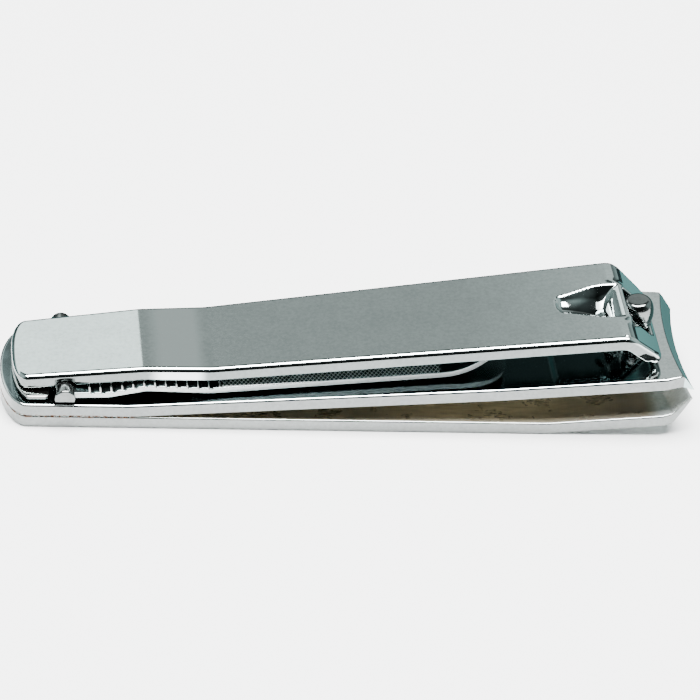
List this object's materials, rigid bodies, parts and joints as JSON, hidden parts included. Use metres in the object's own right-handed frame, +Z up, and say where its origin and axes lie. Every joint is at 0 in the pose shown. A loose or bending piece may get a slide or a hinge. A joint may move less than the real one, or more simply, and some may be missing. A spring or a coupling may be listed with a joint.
{
  "type": "nail clipper",
  "caption": "Fingernail clipper: two spring arms with curved jaws, a post, a folding lever stored flat, and a swing-out nail file under the lever.",
  "frame": {"origin": "middle of the footprint, on the surface it lies on", "axes": "+X from the welded rear end to the jaws, +Y across the width, +Z up"},
  "size_m": [0.06, 0.0138, 0.0098],
  "materials": {
    "arm_chrome": "polished",
    "post_chrome": "polished",
    "lever_chrome": "polished",
    "file_steel": "knurled and plated",
    "pin_steel": "polished",
    "retainer_steel": "polished"
  },
  "bodies": {
    "lower_arm": {"lower_arm": "arm_chrome"},
    "upper_arm": {"upper_arm": "arm_chrome"},
    "post": {"pivot_post": "post_chrome"},
    "lever": {"lever": "lever_chrome", "file_retainer": "retainer_steel"},
    "file": {"nail_file": "file_steel", "file_pin": "pin_steel"}
  },
  "joints": [
    {"name": "arm_flex", "type": "hinge", "parent": "lower_arm", "child": "upper_arm", "pos_m": [-0.019, 0, 0.00115], "axis": [0, 1, 0], "range_deg": [0, 1], "stiffness_Nm_per_rad": 20},
    {"name": "post_spin", "type": "hinge", "parent": "lower_arm", "child": "post", "pos_m": [0.0258, 0, 0.00585], "axis": [-0.0958, 0, 0.9954], "continuous": true},
    {"name": "lever_lift", "type": "hinge", "parent": "post", "child": "lever", "pos_m": [0.02651, 0, 0.0068], "axis": [0, 1, 0], "range_deg": [0, 130]},
    {"name": "file_swing", "type": "hinge", "parent": "lever", "child": "file", "pos_m": [-0.02455, 0, 0.00305], "axis": [0, 1, 0], "range_deg": [0, 58.5]}
  ],
  "couplings": [
    {"joint": "file_swing", "follows": "lever_lift", "ratio": 0.45}
  ]
}
